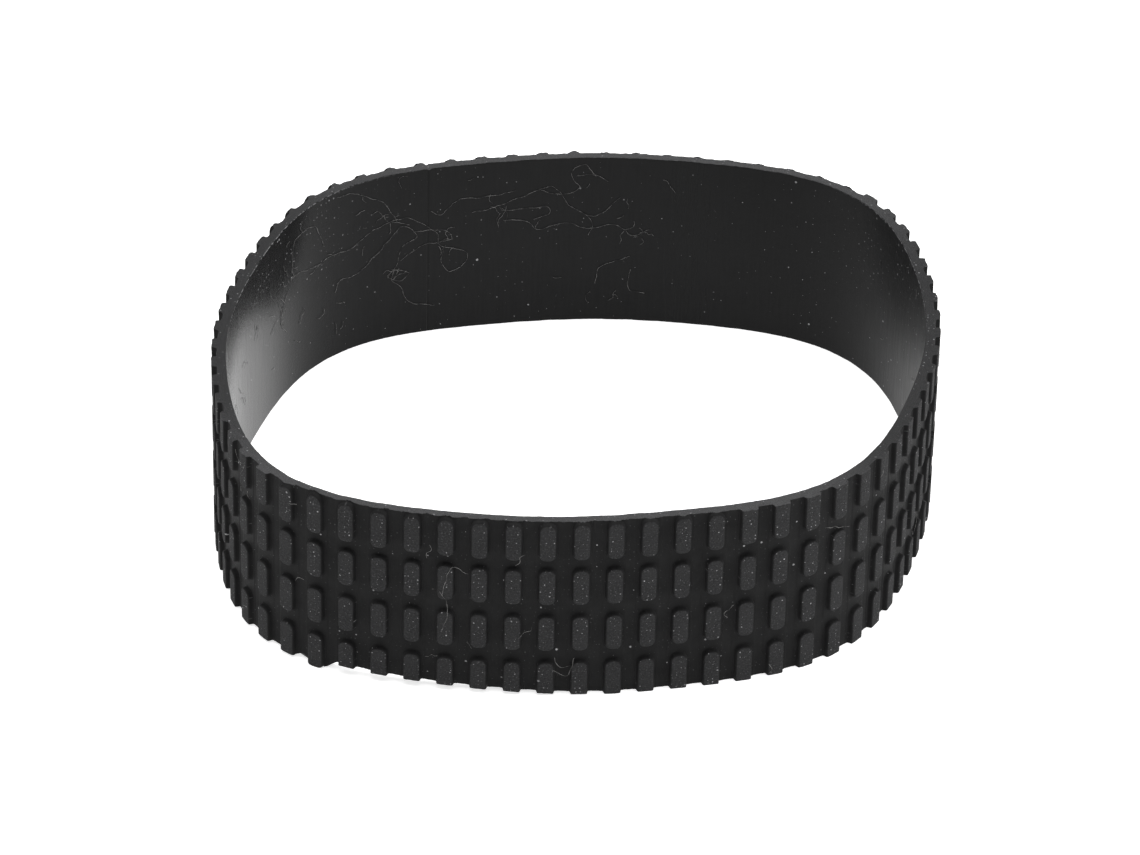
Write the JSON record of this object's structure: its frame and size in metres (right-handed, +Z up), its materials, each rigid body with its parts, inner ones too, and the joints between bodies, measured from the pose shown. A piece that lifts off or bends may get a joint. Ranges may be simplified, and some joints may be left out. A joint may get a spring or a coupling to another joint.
{
  "type": "lens grip ring",
  "caption": "Moulded rubber grip ring for a camera lens barrel: a thin closed band, smooth inside, with rows of raised pads outside, split into hinged lengths so that it can flex.",
  "frame": {"origin": "centre of the band's box, on the plane that its lower edge stands on", "axes": "+Z up along the lens barrel's axis, +X along the longer side of the relaxed loop"},
  "size_m": [0.0748, 0.0694, 0.0206],
  "materials": {
    "rubber": "matte black moulded rubber"
  },
  "bodies": {
    "band_segment_01": {"band_segment_01": "rubber"},
    "band_segment_02": {"band_segment_02": "rubber"},
    "band_segment_03": {"band_segment_03": "rubber"},
    "band_segment_04": {"band_segment_04": "rubber"},
    "band_segment_05": {"band_segment_05": "rubber"},
    "band_segment_06": {"band_segment_06": "rubber"},
    "band_segment_07": {"band_segment_07": "rubber"},
    "band_segment_08": {"band_segment_08": "rubber"},
    "band_segment_09": {"band_segment_09": "rubber"},
    "band_segment_10": {"band_segment_10": "rubber"},
    "band_segment_11": {"band_segment_11": "rubber"},
    "band_segment_12": {"band_segment_12": "rubber"},
    "band_segment_13": {"band_segment_13": "rubber"},
    "band_segment_14": {"band_segment_14": "rubber"},
    "band_segment_15": {"band_segment_15": "rubber"},
    "band_segment_16": {"band_segment_16": "rubber"},
    "band_segment_17": {"band_segment_17": "rubber"},
    "band_segment_18": {"band_segment_18": "rubber"},
    "band_segment_19": {"band_segment_19": "rubber"},
    "band_segment_20": {"band_segment_20": "rubber"},
    "band_segment_21": {"band_segment_21": "rubber"},
    "band_segment_22": {"band_segment_22": "rubber"},
    "band_segment_23": {"band_segment_23": "rubber"},
    "band_segment_24": {"band_segment_24": "rubber"},
    "band_segment_25": {"band_segment_25": "rubber"},
    "band_segment_26": {"band_segment_26": "rubber"},
    "band_segment_27": {"band_segment_27": "rubber"},
    "band_segment_28": {"band_segment_28": "rubber"},
    "band_segment_29": {"band_segment_29": "rubber"},
    "band_segment_30": {"band_segment_30": "rubber"},
    "band_segment_31": {"band_segment_31": "rubber"},
    "band_segment_32": {"band_segment_32": "rubber"},
    "band_segment_33": {"band_segment_33": "rubber"},
    "band_segment_34": {"band_segment_34": "rubber"},
    "band_segment_35": {"band_segment_35": "rubber"}
  },
  "joints": [
    {"name": "bend_01", "type": "hinge", "parent": "band_segment_02", "child": "band_segment_01", "pos_m": [-0.01926, 0.03047, 0], "axis": [0, 0, 1], "range_deg": [-20, 20], "stiffness_Nm_per_rad": 0.0013},
    {"name": "bend_02", "type": "hinge", "parent": "band_segment_03", "child": "band_segment_02", "pos_m": [-0.02485, 0.02706, 0], "axis": [0, 0, 1], "range_deg": [-20, 20], "stiffness_Nm_per_rad": 0.0013},
    {"name": "bend_03", "type": "hinge", "parent": "band_segment_04", "child": "band_segment_03", "pos_m": [-0.02899, 0.02198, 0], "axis": [0, 0, 1], "range_deg": [-20, 20], "stiffness_Nm_per_rad": 0.0013},
    {"name": "bend_04", "type": "hinge", "parent": "band_segment_05", "child": "band_segment_04", "pos_m": [-0.03187, 0.01607, 0], "axis": [0, 0, 1], "range_deg": [-20, 20], "stiffness_Nm_per_rad": 0.0013},
    {"name": "bend_05", "type": "hinge", "parent": "band_segment_06", "child": "band_segment_05", "pos_m": [-0.03411, 0.00988, 0], "axis": [0, 0, 1], "range_deg": [-20, 20], "stiffness_Nm_per_rad": 0.0013},
    {"name": "bend_06", "type": "hinge", "parent": "band_segment_07", "child": "band_segment_06", "pos_m": [-0.03571, 0.00351, 0], "axis": [0, 0, 1], "range_deg": [-20, 20], "stiffness_Nm_per_rad": 0.0013},
    {"name": "bend_07", "type": "hinge", "parent": "band_segment_08", "child": "band_segment_07", "pos_m": [-0.03637, -0.00303, 0], "axis": [0, 0, 1], "range_deg": [-20, 20], "stiffness_Nm_per_rad": 0.0013},
    {"name": "bend_08", "type": "hinge", "parent": "band_segment_09", "child": "band_segment_08", "pos_m": [-0.03616, -0.00961, 0], "axis": [0, 0, 1], "range_deg": [-20, 20], "stiffness_Nm_per_rad": 0.0013},
    {"name": "bend_09", "type": "hinge", "parent": "band_segment_10", "child": "band_segment_09", "pos_m": [-0.0352, -0.01611, 0], "axis": [0, 0, 1], "range_deg": [-20, 20], "stiffness_Nm_per_rad": 0.0013},
    {"name": "bend_10", "type": "hinge", "parent": "band_segment_11", "child": "band_segment_10", "pos_m": [-0.03288, -0.02224, 0], "axis": [0, 0, 1], "range_deg": [-20, 20], "stiffness_Nm_per_rad": 0.0013},
    {"name": "bend_11", "type": "hinge", "parent": "band_segment_12", "child": "band_segment_11", "pos_m": [-0.02857, -0.02716, 0], "axis": [0, 0, 1], "range_deg": [-20, 20], "stiffness_Nm_per_rad": 0.0013},
    {"name": "bend_12", "type": "hinge", "parent": "band_segment_13", "child": "band_segment_12", "pos_m": [-0.02278, -0.03024, 0], "axis": [0, 0, 1], "range_deg": [-20, 20], "stiffness_Nm_per_rad": 0.0013},
    {"name": "bend_13", "type": "hinge", "parent": "band_segment_14", "child": "band_segment_13", "pos_m": [-0.01646, -0.03202, 0], "axis": [0, 0, 1], "range_deg": [-20, 20], "stiffness_Nm_per_rad": 0.0013},
    {"name": "bend_14", "type": "hinge", "parent": "band_segment_15", "child": "band_segment_14", "pos_m": [-0.00998, -0.03319, 0], "axis": [0, 0, 1], "range_deg": [-20, 20], "stiffness_Nm_per_rad": 0.0013},
    {"name": "bend_15", "type": "hinge", "parent": "band_segment_16", "child": "band_segment_15", "pos_m": [-0.00343, -0.03372, 0], "axis": [0, 0, 1], "range_deg": [-20, 20], "stiffness_Nm_per_rad": 0.0013},
    {"name": "bend_16", "type": "hinge", "parent": "band_segment_17", "child": "band_segment_16", "pos_m": [0.00315, -0.03349, 0], "axis": [0, 0, 1], "range_deg": [-20, 20], "stiffness_Nm_per_rad": 0.0013},
    {"name": "bend_17", "type": "hinge", "parent": "band_segment_18", "child": "band_segment_17", "pos_m": [0.00968, -0.03275, 0], "axis": [0, 0, 1], "range_deg": [-5.89, 2.06], "stiffness_Nm_per_rad": 0.0013},
    {"name": "bend_19", "type": "hinge", "parent": "band_segment_18", "child": "band_segment_19", "pos_m": [0.01614, -0.03151, 0], "axis": [0, 0, 1], "range_deg": [-20, 20], "stiffness_Nm_per_rad": 0.0013},
    {"name": "bend_20", "type": "hinge", "parent": "band_segment_19", "child": "band_segment_20", "pos_m": [0.0222, -0.02901, 0], "axis": [0, 0, 1], "range_deg": [-20, 20], "stiffness_Nm_per_rad": 0.0013},
    {"name": "bend_21", "type": "hinge", "parent": "band_segment_20", "child": "band_segment_21", "pos_m": [0.02712, -0.02468, 0], "axis": [0, 0, 1], "range_deg": [-20, 20], "stiffness_Nm_per_rad": 0.0013},
    {"name": "bend_22", "type": "hinge", "parent": "band_segment_21", "child": "band_segment_22", "pos_m": [0.03054, -0.01908, 0], "axis": [0, 0, 1], "range_deg": [-20, 20], "stiffness_Nm_per_rad": 0.0013},
    {"name": "bend_23", "type": "hinge", "parent": "band_segment_22", "child": "band_segment_23", "pos_m": [0.03305, -0.013, 0], "axis": [0, 0, 1], "range_deg": [-20, 20], "stiffness_Nm_per_rad": 0.0013},
    {"name": "bend_24", "type": "hinge", "parent": "band_segment_23", "child": "band_segment_24", "pos_m": [0.03501, -0.00672, 0], "axis": [0, 0, 1], "range_deg": [-20, 20], "stiffness_Nm_per_rad": 0.0013},
    {"name": "bend_25", "type": "hinge", "parent": "band_segment_24", "child": "band_segment_25", "pos_m": [0.03616, -0.00025, 0], "axis": [0, 0, 1], "range_deg": [-20, 20], "stiffness_Nm_per_rad": 0.0013},
    {"name": "bend_26", "type": "hinge", "parent": "band_segment_25", "child": "band_segment_26", "pos_m": [0.03635, 0.00632, 0], "axis": [0, 0, 1], "range_deg": [-20, 20], "stiffness_Nm_per_rad": 0.0013},
    {"name": "bend_27", "type": "hinge", "parent": "band_segment_26", "child": "band_segment_27", "pos_m": [0.03579, 0.01288, 0], "axis": [0, 0, 1], "range_deg": [-20, 20], "stiffness_Nm_per_rad": 0.0013},
    {"name": "bend_28", "type": "hinge", "parent": "band_segment_27", "child": "band_segment_28", "pos_m": [0.03427, 0.01926, 0], "axis": [0, 0, 1], "range_deg": [-20, 20], "stiffness_Nm_per_rad": 0.0013},
    {"name": "bend_29", "type": "hinge", "parent": "band_segment_28", "child": "band_segment_29", "pos_m": [0.03097, 0.02491, 0], "axis": [0, 0, 1], "range_deg": [-20, 20], "stiffness_Nm_per_rad": 0.0013},
    {"name": "bend_30", "type": "hinge", "parent": "band_segment_29", "child": "band_segment_30", "pos_m": [0.02579, 0.02892, 0], "axis": [0, 0, 1], "range_deg": [-20, 20], "stiffness_Nm_per_rad": 0.0013},
    {"name": "bend_31", "type": "hinge", "parent": "band_segment_30", "child": "band_segment_31", "pos_m": [0.01965, 0.03124, 0], "axis": [0, 0, 1], "range_deg": [-20, 20], "stiffness_Nm_per_rad": 0.0013},
    {"name": "bend_32", "type": "hinge", "parent": "band_segment_31", "child": "band_segment_32", "pos_m": [0.01323, 0.03267, 0], "axis": [0, 0, 1], "range_deg": [-20, 20], "stiffness_Nm_per_rad": 0.0013},
    {"name": "bend_33", "type": "hinge", "parent": "band_segment_32", "child": "band_segment_33", "pos_m": [0.00671, 0.03356, 0], "axis": [0, 0, 1], "range_deg": [-20, 20], "stiffness_Nm_per_rad": 0.0013},
    {"name": "bend_34", "type": "hinge", "parent": "band_segment_33", "child": "band_segment_34", "pos_m": [0.00014, 0.03369, 0], "axis": [0, 0, 1], "range_deg": [-20, 20], "stiffness_Nm_per_rad": 0.0013},
    {"name": "bend_35", "type": "hinge", "parent": "band_segment_34", "child": "band_segment_35", "pos_m": [-0.00642, 0.03316, 0], "axis": [0, 0, 1], "range_deg": [-20, 20], "stiffness_Nm_per_rad": 0.0013}
  ],
  "couplings": [
    {"joint": "bend_01", "follows": "bend_17", "ratio": -0.96628},
    {"joint": "bend_02", "follows": "bend_17", "ratio": -1.5459},
    {"joint": "bend_03", "follows": "bend_17", "ratio": -0.49847},
    {"joint": "bend_04", "follows": "bend_17", "ratio": 0.71553},
    {"joint": "bend_05", "follows": "bend_17", "ratio": 0.76576},
    {"joint": "bend_06", "follows": "bend_17", "ratio": 0.3225},
    {"joint": "bend_07", "follows": "bend_17", "ratio": 0.46845},
    {"joint": "bend_08", "follows": "bend_17", "ratio": 0.61847},
    {"joint": "bend_09", "follows": "bend_17", "ratio": -0.34286},
    {"joint": "bend_10", "follows": "bend_17", "ratio": -1.7319},
    {"joint": "bend_11", "follows": "bend_17", "ratio": -1.7703},
    {"joint": "bend_12", "follows": "bend_17", "ratio": -0.34192},
    {"joint": "bend_13", "follows": "bend_17", "ratio": 0.81245},
    {"joint": "bend_14", "follows": "bend_17", "ratio": 0.79281},
    {"joint": "bend_15", "follows": "bend_17", "ratio": 0.60709},
    {"joint": "bend_16", "follows": "bend_17", "ratio": 0.99922},
    {"joint": "bend_19", "follows": "bend_17", "ratio": 0.21472},
    {"joint": "bend_20", "follows": "bend_17", "ratio": 1.4716},
    {"joint": "bend_21", "follows": "bend_17", "ratio": 1.17},
    {"joint": "bend_22", "follows": "bend_17", "ratio": -0.21139},
    {"joint": "bend_23", "follows": "bend_17", "ratio": -0.88809},
    {"joint": "bend_24", "follows": "bend_17", "ratio": -0.51235},
    {"joint": "bend_25", "follows": "bend_17", "ratio": -0.31482},
    {"joint": "bend_26", "follows": "bend_17", "ratio": -0.63469},
    {"joint": "bend_27", "follows": "bend_17", "ratio": -0.28809},
    {"joint": "bend_28", "follows": "bend_17", "ratio": 1.1035},
    {"joint": "bend_29", "follows": "bend_17", "ratio": 1.9899},
    {"joint": "bend_30", "follows": "bend_17", "ratio": 1.1473},
    {"joint": "bend_31", "follows": "bend_17", "ratio": -0.37731},
    {"joint": "bend_32", "follows": "bend_17", "ratio": -0.91545},
    {"joint": "bend_33", "follows": "bend_17", "ratio": -0.63479},
    {"joint": "bend_34", "follows": "bend_17", "ratio": -0.75976},
    {"joint": "bend_35", "follows": "bend_17", "ratio": -1.1386}
  ]
}
